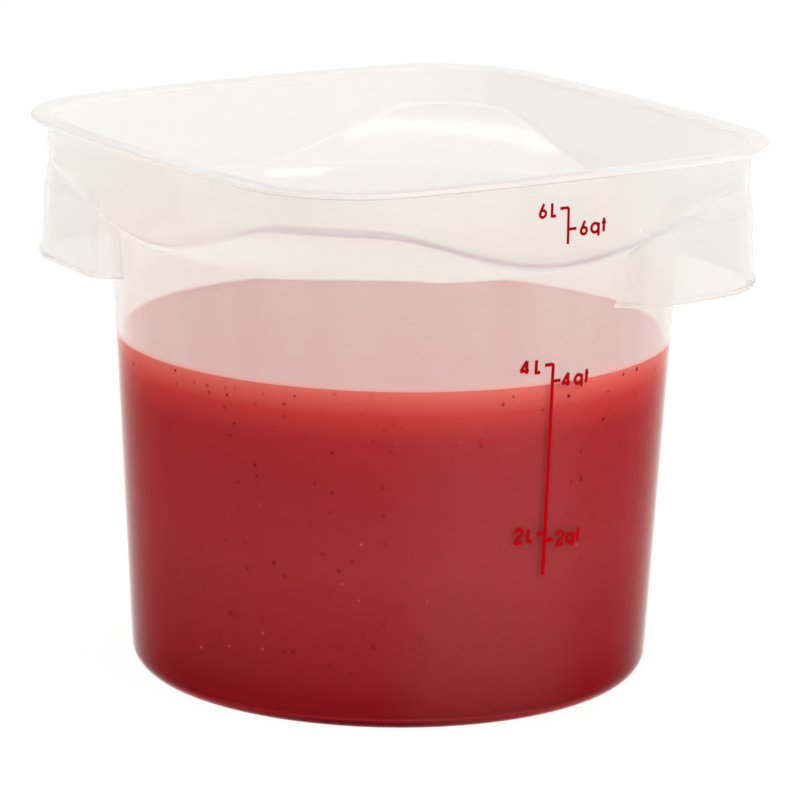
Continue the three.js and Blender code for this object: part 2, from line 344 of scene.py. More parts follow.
def outline_radius(flat, azimuth):
    """Radius of the rounded square with this flat: corner circle near an axis, side circle elsewhere."""
    quarter = np.pi / 2
    off_corner = np.abs(azimuth - np.round(azimuth / quarter) * quarter)
    corner = CORNER_RADIUS + flat - FLANGE_FLAT
    side = SIDE_RADIUS + flat - FLANGE_FLAT
    arc_end = np.arctan2(
        corner * np.sin(CORNER_HALF_ANGLE), CORNER_CENTRE + corner * np.cos(CORNER_HALF_ANGLE)
    )
    at_corner = reach(CORNER_CENTRE, corner, off_corner)
    at_side = reach(SIDE_CENTRE, side, quarter / 2 - off_corner)
    return np.where(off_corner < arc_end, at_corner, at_side)


print("rim", round(2 * FLANGE_FLAT / MM, 1), "by", round(2 * tub_high.x / MM, 1), "mm over flats and corners")

# %% [markdown]
# ## Rounded profiles
# A moulded tub has no sharp edge, so each profile is drawn as a few corner points with a rounding radius
# each, and the corners are then replaced by arcs. Every azimuth has its own profile with the same number of
# points, so the whole tub is worked out at once: one array per corner, with a column for each azimuth.

# %% Profile helpers
AZIMUTH_STEPS = 440
CORNER_CROWDING = 0.12
LONGEST_SETBACK = 0.48
turn = np.linspace(0, 2 * np.pi, AZIMUTH_STEPS, endpoint=False)
AZIMUTH = turn - CORNER_CROWDING * np.sin(4 * turn)


def at(radius, height, rounding=0.0):
    """A profile corner: its radius and height for every azimuth, and its rounding."""
    return np.stack([radius + 0 * AZIMUTH, height + 0 * AZIMUTH], -1), rounding


def unit(vector):
    """Vectors brought to length 1."""
    return vector / np.linalg.norm(vector, axis=-1, keepdims=True)


def turned_by(vector, angle):
    """Plane vectors turned by an angle each."""
    cos, sin = np.cos(angle)[..., None], np.sin(angle)[..., None]
    return vector * cos + np.stack([-vector[..., 1], vector[..., 0]], -1) * sin


def rounded(corners, steps):
    """Replaces each corner that states a rounding by an arc; returns one block of points per corner.

    The arc touches both neighbouring lines at the setback r / tan(half the inner angle). The setback may use
    a stated share of the shorter line at most.
    """
    points = [point for point, _ in corners]
    blocks = []
    for i, (point, rounding) in enumerate(corners):
        if not rounding:
            blocks.append(point[None])
            continue
        before = points[i - 1] - point
        after = points[(i + 1) % len(points)] - point
        before_length = np.linalg.norm(before, axis=-1, keepdims=True)
        after_length = np.linalg.norm(after, axis=-1, keepdims=True)
        before = before / before_length
        after = after / after_length
        half = np.arccos(np.clip((before * after).sum(-1, keepdims=True), -1, 1)) / 2
        longest = LONGEST_SETBACK * np.minimum(before_length, after_length)
        setback = np.minimum(rounding / np.tan(half), longest)
        radius = setback * np.tan(half)
        centre = point + unit(before + after) * radius / np.sin(half)
        first = point + before * setback - centre
        last = point + after * setback - centre
        cross = first[..., 0] * last[..., 1] - first[..., 1] * last[..., 0]
        sweep = np.arctan2(cross, (first * last).sum(-1))
        share = np.linspace(0, 1, steps + 1).reshape(-1, *[1] * sweep.ndim)
        blocks.append(centre + turned_by(first[None] + 0 * share[..., None], sweep[None] * share))
    return blocks


def densified(rows, longest):
    """Splits each step between rows evenly so that none is longer than the given length."""
    made = []
    for here, there in zip(rows[:-1], rows[1:]):
        length = np.linalg.norm(there - here, axis=-1).max()
        count = max(1, int(np.ceil(length / longest)))
        share = np.arange(count).reshape(-1, 1, 1) / count
        made.append(here + (there - here) * share)
    made.append(rows[-1:])
    return np.concatenate(made)


print("azimuths", AZIMUTH_STEPS)

# %% [markdown]
# ## Wall of the tub
# The round body and the square upper wall are joined by a shelf that slopes up and out into each corner, like
# a shallow pocket. The shelf is one bulging cone, so where it meets the round body and the square wall, the
# creases curve: low at the middle of a side and high at a corner. The same formula, moved in by the wall
# thickness, gives the inside.

# %% Shelf
PLAIN_CROWN = 4 * MM
HANDLE_CROWN = 1.5 * MM
MEETING_ROUNDS = 12
SHELF_START = wall_flat(SIDE_CREASE_Z)
SHELF_END = outline_radius(wall_flat(CORNER_CREASE_Z), 0)


def shelf_height(radius, inset):
    """Height of the shelf: a slope plus a crown 4c s (1 - s), raised by the inset across that slope."""
    crown = HANDLE_CROWN + (PLAIN_CROWN - HANDLE_CROWN) * np.sin(AZIMUTH) ** 2
    share = (radius - SHELF_START) / (SHELF_END - SHELF_START)
    rise = CORNER_CREASE_Z - SIDE_CREASE_Z
    slope = (rise + 4 * crown * (1 - 2 * share)) / (SHELF_END - SHELF_START)
    return SIDE_CREASE_Z + rise * share + 4 * crown * share * (1 - share) + inset * np.hypot(1, slope)


def meet_shelf(wall_radius, inset):
    """Height at which a nearly upright wall meets the shelf, by repeated substitution."""
    z = CORNER_CREASE_Z + 0 * AZIMUTH
    for _ in range(MEETING_ROUNDS):
        z = shelf_height(wall_radius(z), inset)
    return z


print("shelf from", round(SHELF_START / MM, 1), "to", round(SHELF_END / MM, 1), "mm from the axis")

# %% [markdown]
# A profile runs from the middle of the base to the middle of the mouth. Between the flare of the body and the
# crease of the upper wall it follows the shelf in fine steps, and the small misfit that the two roundings
# leave at its ends is shared out evenly along it.

# %% Wall profiles
FLOOR_THICKNESS = 2.8 * MM
BASE_EDGE_RADIUS = 9.7 * MM
FOOT_WIDTH = 8 * MM
FOOT_RECESS = 1.2 * MM
POCKET_FILLET = 2.5 * MM
FLARE_FILLET = 9 * MM
FLANGE_EDGE_RADIUS = 0.9 * MM
UNDER_FLANGE_FILLET = 1.5 * MM
MOUTH_RADIUS = 1.6 * MM
COARSE_SHELF = 4
FINE_SHELF = 14
ARC_STEPS = 8
LONGEST_ROW = 6 * MM
FLOOR_TOP = FOOT_RECESS + FLOOR_THICKNESS


def wall_rows(inset, bottom, below, above, base_rounding, flare_rounding, crease_rounding):
    """Profile rows of the wall at an inset, with corners of the base before it and of the rim after it."""

    def body(z):
        return body_radius(z) - inset * np.hypot(1, np.tan(BODY_DRAFT))

    def upper(z):
        return outline_radius(wall_flat(z) - inset, AZIMUTH)

    body_top = meet_shelf(body, inset)
    crease = meet_shelf(upper, inset)
    span = upper(crease) - body(body_top)
    coarse = [body(body_top) + span * k / COARSE_SHELF for k in range(1, COARSE_SHELF)]
    flare = len(below) + 1
    corners = [
        *below,
        at(body(bottom), bottom, base_rounding),
        at(body(body_top), body_top, flare_rounding),
        *[at(r, shelf_height(r, inset)) for r in coarse],
        at(upper(crease), crease, crease_rounding),
        *above,
    ]
    blocks = rounded(corners, ARC_STEPS)
    start, end = blocks[flare][-1], blocks[flare + COARSE_SHELF][0]
    share = np.linspace(0, 1, FINE_SHELF + 1)[1:-1, None]
    radius = start[:, 0] + (end - start)[:, 0] * share
    miss_start = start[:, 1] - shelf_height(start[:, 0], inset)
    miss_end = end[:, 1] - shelf_height(end[:, 0], inset)
    height = shelf_height(radius, inset) + miss_start + (miss_end - miss_start) * share
    shelf = np.stack([radius, height], -1)
    return np.concatenate([*blocks[: flare + 1], shelf, *blocks[flare + COARSE_SHELF :]])


def outer_rows():
    """Outside of the tub, from the middle of the underside round the foot and up to the middle of the rim."""
    foot = BASE_RADIUS - BASE_EDGE_RADIUS - FOOT_WIDTH
    flange = outline_radius(FLANGE_FLAT, AZIMUTH)
    wall_top = outline_radius(wall_flat(FLANGE_UNDERSIDE), AZIMUTH)
    below = [at(0, FOOT_RECESS), at(foot - FOOT_RECESS, FOOT_RECESS), at(foot, 0)]
    above = [
        at(wall_top, FLANGE_UNDERSIDE, UNDER_FLANGE_FILLET),
        at(flange, FLANGE_UNDERSIDE, FLANGE_EDGE_RADIUS),
        at(flange, HEIGHT, FLANGE_EDGE_RADIUS),
        at(0, HEIGHT),
    ]
    return wall_rows(0, 0, below, above, BASE_EDGE_RADIUS, FLARE_FILLET, POCKET_FILLET + WALL)


def inner_rows():
    """Inside of the tub, carried past the rim so that cutting it away opens the mouth with a rounded edge."""
    mouth = outline_radius(wall_flat(HEIGHT) - WALL, AZIMUTH)
    wall_top = outline_radius(wall_flat(HEIGHT - MOUTH_RADIUS) - WALL, AZIMUTH)
    above = [at(wall_top, HEIGHT - MOUTH_RADIUS)]
    for t in np.linspace(0, np.pi / 2, ARC_STEPS + 1)[1:]:
        above.append(at(mouth + MOUTH_RADIUS * (1 - np.cos(t)), HEIGHT - MOUTH_RADIUS * (1 - np.sin(t))))
    above += [at(mouth + MOUTH_RADIUS, HEIGHT + MOUTH_RADIUS), at(0, HEIGHT + MOUTH_RADIUS)]
    below = [at(0, FLOOR_TOP)]
    inner_base = BASE_EDGE_RADIUS - WALL
    return wall_rows(WALL, FLOOR_TOP, below, above, inner_base, FLARE_FILLET + WALL, POCKET_FILLET)


def with_row_at(rows, height):
    """Adds a row at a height of the round wall, on the line between the rows below and above it."""
    above = np.flatnonzero((rows[:, :, 1] > height).all(axis=1))[0]
    low, high = rows[above - 1], rows[above]
    share = (height - low[:, 1]) / (high[:, 1] - low[:, 1])
    return np.insert(rows, above, low + (high - low) * share[:, None], axis=0)


outside = densified(with_row_at(outer_rows(), food_high.z), LONGEST_ROW)
inside = densified(with_row_at(inner_rows(), food_high.z), LONGEST_ROW)
print("profile rows outside", len(outside), "inside", len(inside))

# %% [markdown]
# Turning the profiles round the axis gives two closed solids: everything inside the outer skin, and the
# hollow. The first and last rows lie on the axis, so each becomes a single point with a fan of triangles
# round it.

# %% Turned solids
def mesh_object(name, points, faces):
    """A mesh object at the origin from points and faces, with smooth shading."""
    mesh = bpy.data.meshes.new(name)
    mesh.from_pydata(np.asarray(points).tolist(), [], faces)
    mesh.shade_smooth()
    made = bpy.data.objects.new(name, mesh)
    bpy.context.scene.collection.objects.link(made)
    return made


def ring_grid(count, columns):
    """Numbers of the points on rings, of their neighbours along the ring, and quads between the rings."""
    here = np.arange(count * columns).reshape(count, columns)
    beside = np.roll(here, -1, axis=1)
    quads = np.stack([here[:-1], beside[:-1], beside[1:], here[1:]], -1).reshape(-1, 4)
    return here, beside, quads.tolist()


def solid_of_rows(name, rows):
    """Solid through rows of points round the axis; the first and last rows are single points on the axis."""
    rings = rows[1:-1]
    here, beside, quads = ring_grid(*rings.shape[:2])
    points = np.concatenate([rings.reshape(-1, 3), rows[[0, -1], 0]])
    start_fan = np.stack([0 * here[0] + here.size, beside[0], here[0]], -1)
    end_fan = np.stack([0 * here[-1] + here.size + 1, here[-1], beside[-1]], -1)
    return mesh_object(name, points, quads + start_fan.tolist() + end_fan.tolist())


def turned(rows):
    """Points of rows of (radius, height) by azimuth."""
    radius, height = rows[..., 0], rows[..., 1]
    return np.stack([radius * np.cos(AZIMUTH), radius * np.sin(AZIMUTH), height], -1)


tub = solid_of_rows("tub", turned(outside))
hollow = solid_of_rows("hollow", turned(inside))
print("tub faces", len(tub.data.polygons), "hollow faces", len(hollow.data.polygons))

# %% [markdown]
# ## Handle skirts
# Each handle is a thin curtain that hangs from the rim round a corner and turns in to the body at both ends.
# A lip runs along its lower edge for the fingers. It is a section carried along a plan: the plan follows the
# corner arc, and the section has the draft of the curtain and the rounded lip.

# %% Handle skirts
HANDLE_DEPTH = 53.1 * MM
HANDLE_HALF_WIDTH = 51.5 * MM
HANDLE_INSET = 4.2 * MM
HANDLE_DRAFT = np.radians(2.2)
SHOULDER_DRAFT = np.radians(11)
SHOULDER_HEIGHT = 25 * MM
SHOULDER_RADIUS = 14 * MM
HANDLE_END_RADIUS = 6 * MM
LIP_REACH = 1 * MM
LIP_HEIGHT = 1.9 * MM
LIP_EDGE_RADIUS = 0.45 * MM
CORNER_STEPS = 56


def corner_point(x, y, rounding=0.0):
    """One corner of a plane figure."""
    return np.array([x, y]), rounding


def handle_plan():
    """Plan of the curtain on +X: straight out of the body, along the side, round the corner arc and back."""
    flat = FLANGE_FLAT - HANDLE_INSET
    buried = body_radius(HEIGHT - HANDLE_DEPTH) - WALL / 2
    inner = np.sqrt(buried**2 - HANDLE_HALF_WIDTH**2)
    diagonal = SIDE_CENTRE / np.sqrt(2)
    side_radius = SIDE_RADIUS + flat - FLANGE_FLAT
    outer = diagonal + np.sqrt(side_radius**2 - (HANDLE_HALF_WIDTH - diagonal) ** 2)
    radius = CORNER_RADIUS + flat - FLANGE_FLAT
    angles = np.linspace(-CORNER_HALF_ANGLE, CORNER_HALF_ANGLE, CORNER_STEPS + 1)
    bend = np.stack([CORNER_CENTRE + radius * np.cos(angles), radius * np.sin(angles)], -1)
    starts = [corner_point(inner, side * HANDLE_HALF_WIDTH) for side in (-1, 1)]
    ends = [corner_point(outer, side * HANDLE_HALF_WIDTH, HANDLE_END_RADIUS) for side in (-1, 1)]
    corners = [starts[0], ends[0], *[(p, 0.0) for p in bend], ends[1], starts[1]]
    return np.concatenate(rounded(corners, ARC_STEPS))


def handle_section():
    """Section of the curtain, as offset from the plan and height; over its shoulder it leans in more."""
    bottom = HEIGHT - HANDLE_DEPTH
    lip_top = bottom + LIP_HEIGHT
    shoulder = lip_top + SHOULDER_HEIGHT
    top = CORNER_CREASE_Z + POCKET_FILLET
    lean = SHOULDER_HEIGHT * np.tan(HANDLE_DRAFT)
    top_lean = lean + (top - shoulder) * np.tan(SHOULDER_DRAFT)
    corners = [
        corner_point(-WALL, bottom),
        corner_point(-WALL, lip_top),
        corner_point(-lean - WALL, shoulder, SHOULDER_RADIUS),
        corner_point(-top_lean - WALL, top),
        corner_point(-top_lean, top),
        corner_point(-lean, shoulder, SHOULDER_RADIUS),
        corner_point(0, lip_top),
        corner_point(LIP_REACH, lip_top, LIP_EDGE_RADIUS),
        corner_point(LIP_REACH, bottom, LIP_EDGE_RADIUS),
    ]
    return np.concatenate(rounded(corners, ARC_STEPS // 2))


def swept_solid(name, plan, section, side):
    """Section carried along a plan, each point offset along its outward normal, with both ends capped."""
    ahead = unit(np.concatenate([plan[1:], plan[-1:]]) - np.concatenate([plan[:1], plan[:-1]]))
    outward = np.stack([ahead[:, 1], -ahead[:, 0]], -1)
    xy = plan[:, None] + outward[:, None] * section[None, :, :1]
    heights = np.broadcast_to(section[None, :, 1:], (*xy.shape[:2], 1))
    points = np.concatenate([xy * side, heights], -1)
    here, _, quads = ring_grid(*points.shape[:2])
    caps = [here[0, ::-1].tolist(), here[-1].tolist()]
    return mesh_object(name, points.reshape(-1, 3), quads + caps)


skirts = [swept_solid("skirt", handle_plan(), handle_section(), side) for side in (1, -1)]
print("skirt faces", len(skirts[0].data.polygons))

# %% [markdown]
# ## One moulding
# The tub comes out of the mould in one piece, so the curtains are joined to the outer skin and the hollow is
# cut away, in that order, as the CAD model does. The result is one closed skin with no faces inside the
# plastic, which matters for a material that light goes through.

# %% Join and hollow out
def combined(target, operations):
    """Applies a list of (operation, other object) Booleans to the target and removes the other objects."""
    for operation, other in operations:
        modifier = target.modifiers.new(operation.lower(), "BOOLEAN")
        modifier.operation = operation
        modifier.object = other
        modifier.solver = "MANIFOLD"
    scene_graph = bpy.context.evaluated_depsgraph_get()
    made = bpy.data.meshes.new_from_object(target.evaluated_get(scene_graph))
    target.modifiers.clear()
    target.data = made
    for _, other in operations:
        bpy.data.objects.remove(other)


SHARP_TURN = np.radians(32)
combined(tub, [("UNION", skirts[0]), ("UNION", skirts[1]), ("DIFFERENCE", hollow)])
tub.data.shade_smooth()
tub.data.set_sharp_from_angle(angle=SHARP_TURN)
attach(tub, "root")
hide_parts("container_body")
print("tub faces", len(tub.data.polygons))

# %% [markdown]
# ## Translucent polypropylene
# The plastic is clear enough to show the food line behind it, and milky enough to glow. Most light goes
# straight through with the bend and gleam of glass, and a share is scattered, which makes the wall a white
# veil. Full scattering inside a thin wall would take very long to work out, so the wall is plainly clear to
# lamps and to scattered light, and only what looks at it sees the veil. Patterns on the wall follow the
# direction from the axis and the height.

# %% Wall patterns
LIGHT_TINT = (0.985, 0.98, 0.97, 1)
RIM_BELOW = 0.3 * MM
RIM_ABOVE = 0.2 * MM


def lets_light_in(tree, surface):
    """The surface as seen, but plainly clear to lamps and to scattered light, so that both reach the food."""
    lit = shader(tree, "Transparent", Color=LIGHT_TINT)
    return blended(tree, rays(tree, "Shadow", "Diffuse"), surface, lit)


def wall_noise(tree, across, up, detail):
    """Noise along the wall, read at the direction from the axis times a scale plus height times another."""
    rise = vector_maths(tree, "MULTIPLY", place_on(tree), (0, 0, up))
    spread = vector_maths(tree, "MULTIPLY_ADD", heading(tree), (across, across, across), rise)
    return node(tree, "ShaderNodeTexNoise", Vector=spread, Scale=1.0, Detail=detail).outputs["Fac"]


def towards(tree, azimuth, start):
    """Share of a side that faces an azimuth: smooth from 0, where their cosine is the start, to 1."""
    side = (np.cos(azimuth), np.sin(azimuth), 0)
    cosine = vector_maths(tree, "DOT_PRODUCT", heading(tree), side)
    return ranged(tree, cosine, start, 1.0, smooth=True)


def on_rim(tree):
    """0 up to the underside of the rim flange and 1 just above it."""
    return ranged(tree, coordinate(tree, "Z"), FLANGE_UNDERSIDE - RIM_BELOW, FLANGE_UNDERSIDE + RIM_ABOVE)


print("rim starts at", round(FLANGE_UNDERSIDE / MM, 1), "mm")

# %% [markdown]
# The veil isn't even. Outside it is painted warm between the handles, for the light of the red food that
# shines into it, and white towards the handles and on the inside. Flow in the mould left faint upright
# streaks, and use left short level scuffs. The rim is thicker plastic and so whiter. Along the crease over the
# shelf and the lower edge of the rim, a thin grey line of painted shade is added, sharpest on one side. Where
# that line runs is stored on the mesh below.

# %% Milk and haze
# The warm outer milk paints the red food's light shining into the wall between the handles.
WARM_MILK = (0.902, 0.855, 0.793, 1)
WHITE_MILK = (0.872, 0.902, 0.89, 1)
# Grey milk of the painted shade line along the crease and under the rim.
CREASE_SHADE_MILK = (0.66, 0.615, 0.63, 1)
WARM_END = 84 * MM
WHITE_START = 120 * MM
CREASE_AZIMUTH = np.radians(-58)
CREASE_COSINE = 0.1
HAZE = 0.34
STREAK = 0.028
STREAK_SCALES = (4.5, 4)
STREAK_NOISE = (0.3, 0.7)
SCUFF = 0.012
SCUFF_SCALES = (14, 1400)
SCUFF_NOISE = (0.71, 0.79)
CREASE_SHADE_HAZE = 0.34
RIM_HAZE = 0.25


def painted_crease_shade(tree):
    """Share of the painted shade line along the crease at the shaded point, from the mesh."""
    return node(tree, "ShaderNodeAttribute", {"attribute_name": "crease"}).outputs["Fac"]


def outside_milk(tree):
    """Outside milk: warm on the round wall as painted light of the red food, white where the handles carry it
    out.
    """
    aside = maths(tree, "ABSOLUTE", coordinate(tree, "X"))
    white = ranged(tree, aside, WARM_END, WHITE_START, smooth=True)
    drawn = maths(tree, "MULTIPLY", painted_crease_shade(tree), towards(tree, CREASE_AZIMUTH, CREASE_COSINE))
    warm = blended_colour(tree, drawn, WARM_MILK, CREASE_SHADE_MILK)
    return blended_colour(tree, white, warm, WHITE_MILK)


def haze_share(tree):
    """Milky share of the wall: upright streaks, short level scuffs, the painted shade line and the rim, added
    up.
    """
    flow = wall_noise(tree, *STREAK_SCALES, detail=1.0)
    wear = wall_noise(tree, *SCUFF_SCALES, detail=0.0)
    streaks = ranged(tree, flow, *STREAK_NOISE, HAZE - STREAK, HAZE + STREAK)
    scuffs = ranged(tree, wear, *SCUFF_NOISE, 0.0, SCUFF)
    marked = maths(tree, "ADD", streaks, scuffs)
    # The painted shade line adds haze along the crease and under the rim.
    painted_line = maths(tree, "MULTIPLY_ADD", painted_crease_shade(tree), CREASE_SHADE_HAZE, marked)
    return maths(tree, "MULTIPLY_ADD", on_rim(tree), RIM_HAZE, painted_line)


print("haze", HAZE, "on the wall,", round(HAZE + RIM_HAZE, 2), "on the rim")

# %% [markdown]
# Just over the food line a thin pink band is painted on the inside of the wall, for the red light of the food
# glowing up into the plastic. Its upper edge is uneven, and it is fuller on one side than at the back.

# %% Painted glow over the food line
# A pink band painted on the inside over the food line, for the food's red light glowing in the wall.
FOOD_GLOW_COLOUR = colour(255, 152, 138)
GLOW_SHARE = 0.95
BACK_GLOW = 0.5
GLOW_HEIGHT = 1.1 * MM
GLOW_AZIMUTH = np.radians(-75)
GLOW_COSINE = -0.3
GLOW_EDGE_SCALE = 20
BACK_SHARE = 0.62


def milky(tree, tint, through):
    """A layer that scatters light: a share comes through from behind, and the rest from in front."""
    front = shader(tree, "Diffuse", Color=tint)
    back = shader(tree, "Translucent", Color=tint)
    return blended(tree, through, front, back)


def under_food_glow(tree, wall):
    """The wall with a pink band painted over the food line for the food's glowing light, up to an uneven edge.
    """
    uneven = wall_noise(tree, GLOW_EDGE_SCALE, 0, detail=1.0)
    edge = maths(tree, "MULTIPLY_ADD", uneven, GLOW_HEIGHT, food_high.z + GLOW_HEIGHT / 2)
    foot = food_high.z + GLOW_HEIGHT / 3
    share = ranged(tree, coordinate(tree, "Z"), foot, edge, GLOW_SHARE, 0.0, smooth=True)
    glowing_side = towards(tree, GLOW_AZIMUTH, GLOW_COSINE)
    all_round = maths(tree, "MULTIPLY_ADD", glowing_side, 1 - BACK_GLOW, BACK_GLOW)
    cover = maths(tree, "MULTIPLY", share, all_round)
    return blended(tree, cover, wall, milky(tree, FOOD_GLOW_COLOUR, BACK_SHARE))


print("film up to", round(1.5 * GLOW_HEIGHT / MM, 2), "mm over the food")

# %% [markdown]
# Dry plastic is clear, glossy in front and milky all through. It bends light less than a solid block would,
# since both faces of the wall are nearly parallel. The inner wall flares softly before it turns into the
# shelf, which catches the key lamp in an oval gleam: there the gloss alone uses a normal that tilts upwards.

# %% Dry walls
CLEAR_TINT = (0.97, 0.94, 0.9, 1)
DRY_ROUGHNESS = 0.05
BEND_IOR = 1.1
GLEAM_IOR = 1.45
RIM_BACK_SHARE = 0.4
FLARE_START = 161.4 * MM
FLARE_END = 171.6 * MM
FLARE_TILT = 0.34


def flared_normal(tree):
    """Normal that tilts up more and more towards the crease, and is plain above it."""
    height = coordinate(tree, "Z")
    tilt = ranged(tree, height, FLARE_START, FLARE_END, 0.0, FLARE_TILT)
    lift = maths(tree, "MULTIPLY", tilt, maths(tree, "LESS_THAN", height, FLARE_END))
    up = node(tree, "ShaderNodeCombineXYZ", Z=lift).outputs[0]
    normal = node(tree, "ShaderNodeNewGeometry").outputs["Normal"]
    return vector_maths(tree, "NORMALIZE", vector_maths(tree, "ADD", normal, up))


def behind(tree):
    """1 where the surface is seen from inside the plastic, 0 from outside."""
    return node(tree, "ShaderNodeNewGeometry").outputs["Backfacing"]


def dry_plastic(name, inside):
    """Clear plastic with a gleam in front, under a milky share that depends on the place."""
    material, tree = new_material(name)
    milk_colour = WHITE_MILK if inside else outside_milk(tree)
    lean = {"Normal": flared_normal(tree)} if inside else {}
    clear = shader(
        tree,
        "Principled",
        Base_Color=CLEAR_TINT,
        Roughness=DRY_ROUGHNESS,
        IOR=BEND_IOR,
        Transmission_Weight=1.0,
    )
    gleam = shader(tree, "Anisotropic", Color=WHITE, Roughness=DRY_ROUGHNESS, **lean)
    mirrored = node(tree, "ShaderNodeFresnel", IOR=GLEAM_IOR).outputs[0]
    in_front = maths(tree, "SUBTRACT", 1.0, behind(tree))
    glossy = blended(tree, maths(tree, "MULTIPLY", mirrored, in_front), clear, gleam)
    through = ranged(tree, on_rim(tree), 0, 1, BACK_SHARE, RIM_BACK_SHARE)
    wall = blended(tree, haze_share(tree), glossy, milky(tree, milk_colour, through))
    if inside:
        wall = under_food_glow(tree, wall)
    set_surface(tree, lets_light_in(tree, wall))
    return material


outer_wall = dry_plastic("translucent_polypropylene", inside=False)
inner_wall = dry_plastic("inner_polypropylene", inside=True)
print("dry finishes", outer_wall.name, inner_wall.name)

# %% [markdown]
# Where food wets the inside, the wall turns almost clear: the red shows straight through it. The outside then
# bends light as solid plastic does, with a gleam that grows where it is seen at a slant and a very thin pale
# veil. On one side the veil is stronger in a broad band, a painted highlight of the key lamp. Light that would
# leave the wall too flat turns back inside it.
# The wetted inside has no look of its own, because no air is left between plastic and food.

# %% Wetted walls
WET_TINT = (0.99, 0.98, 0.97, 1)
WET_ROUGHNESS = 0.03
WET_GLEAM = 1.5
WET_GLEAM_POWER = 9
WET_GLEAM_TINT = (1, 0.96, 0.9, 1)
WET_GLEAM_ROUGHNESS = 0.1
VEIL_SHARE = 0.003
PAINTED_HIGHLIGHT_SHARE = 0.013
PAINTED_HIGHLIGHT_AZIMUTH = np.radians(-56)
PAINTED_HIGHLIGHT_COSINE = 0.9

wetted, tree = new_material("wetted_polypropylene")
entering = shader(tree, "Refraction", Color=WET_TINT, Roughness=WET_ROUGHNESS, IOR=GLEAM_IOR)
leaving = shader(tree, "Glass", Color=WET_TINT, Roughness=WET_ROUGHNESS, IOR=GLEAM_IOR)
clear = blended(tree, behind(tree), entering, leaving)
gleam = shader(tree, "Anisotropic", Color=WET_GLEAM_TINT, Roughness=WET_GLEAM_ROUGHNESS)
slant = node(tree, "ShaderNodeLayerWeight", Blend=0.5).outputs["Facing"]
steep = maths(tree, "POWER", slant, WET_GLEAM_POWER)
grazing = maths(tree, "MINIMUM", maths(tree, "MULTIPLY", steep, WET_GLEAM), 1.0)
glossy = blended(tree, grazing, clear, gleam)
veil = shader(tree, "Diffuse", Color=WHITE)
# A painted highlight: the pale veil grows into a broad band on the side where the wall would mirror the key
# lamp.
painted_highlight = ranged(tree, towards(tree, PAINTED_HIGHLIGHT_AZIMUTH, PAINTED_HIGHLIGHT_COSINE), 0, 1, VEIL_SHARE, PAINTED_HIGHLIGHT_SHARE)
set_surface(tree, lets_light_in(tree, blended(tree, painted_highlight, glossy, veil)))

contact, tree = new_material("food_contact")
set_surface(tree, shader(tree, "Transparent", Color=WHITE))
print("wet finishes", wetted.name, contact.name)

# %% [markdown]
# Each face of the tub gets one of the four finishes, by two questions: does it face the hollow, and does it
# lie below the food line? A row of points runs along that line, so the change is sharp.

# %% Finish of each face
def face_values(mesh, name):
    """One vector per face of a mesh, as an array."""
    values = np.empty(3 * len(mesh.polygons))
    mesh.polygons.foreach_get(name, values)
    return values.reshape(-1, 3)


tub.data.materials.clear()
for material in (outer_wall, inner_wall, wetted, contact):
    tub.data.materials.append(material)
centres = face_values(tub.data, "center")
facing = face_values(tub.data, "normal")
away_from_axis = (facing * centres)[:, :2].sum(axis=1) / np.hypot(centres[:, 0], centres[:, 1])
in_hollow = away_from_axis < facing[:, 2]
below_food = centres[:, 2] < food_high.z
finish_index = 2 * below_food + in_hollow
tub.data.polygons.foreach_set("material_index", finish_index.astype(np.int32))
print("faces outside, inside, wetted, in contact:", np.bincount(finish_index))

# %% [markdown]
# The painted shade line along the crease and the lower edge of the rim can't be told from height alone, since
# the crease rises into the corners. So its share is worked out from the formula of the wall for every point of
# the mesh, and the finish reads it from there.

# %% Crease line
CREASE_CORE = 1.1 * MM
CREASE_REACH = 2.8 * MM
EDGE_CORE = 0.5 * MM
EDGE_REACH = 0.9 * MM


def nearness(away, core, reach):
    """1 up to the core distance, falling evenly to 0 at the reach."""
    return np.clip((reach - away) / (reach - core), 0, 1)


def painted_shade_share(points):
    """Painted shade line: 1 on the crease over the shelf and on the lower edge of the rim, 0 a little way off.
    """

    def mid_wall(z):
        return outline_radius(wall_flat(z) - WALL / 2, AZIMUTH)

    crease_height = meet_shelf(mid_wall, WALL / 2)
    azimuth = np.arctan2(points[:, 1], points[:, 0])
    height = np.interp(azimuth, AZIMUTH, crease_height, period=2 * np.pi)
    radius = np.interp(azimuth, AZIMUTH, mid_wall(crease_height), period=2 * np.pi)
    from_axis = np.hypot(points[:, 0], points[:, 1])
    off_crease = np.hypot(from_axis - radius, points[:, 2] - height)
    off_edge = np.hypot(from_axis - outline_radius(FLANGE_FLAT, azimuth), points[:, 2] - FLANGE_UNDERSIDE)
    on_crease = nearness(off_crease, CREASE_CORE, CREASE_REACH)
    on_edge = nearness(off_edge, EDGE_CORE, EDGE_REACH)
    return np.maximum(on_crease, on_edge)


# Share of the painted shade line at each point of the tub, stored for the finish.
points = np.empty(3 * len(tub.data.vertices))
tub.data.vertices.foreach_get("co", points)
painted_line = painted_shade_share(points.reshape(-1, 3))
tub.data.attributes.new("crease", "FLOAT", "POINT").data.foreach_set("value", painted_line)
print("points on the crease:", int((painted_line > 0).sum()))

# %% [markdown]
# ## Printed scale
# One side of the tub carries a volume scale, screen-printed in red: an upright line with a tick, a number and
# a unit for each mark, litres on the left and quarts on the right. Each character is a handful of strokes,
# drawn in a flat plane of millimetres from a point on its baseline. A stroke is a straight line or an arc, so
# an open geometric alphabet of lines and circles is all it takes.

# %% Strokes of the scale
ARC_POINTS = 37


def line(*ends):
    """A straight stroke from one point to another."""
    return np.array(ends, float)


def arc(centre, radius, start, stop):
    """A stroke along part of an ellipse: centre + (rx cos t, rz sin t), with t in degrees."""
    t = np.radians(np.linspace(start, stop, ARC_POINTS))
    return np.array(centre) + np.stack([radius[0] * np.cos(t), radius[1] * np.sin(t)], -1)


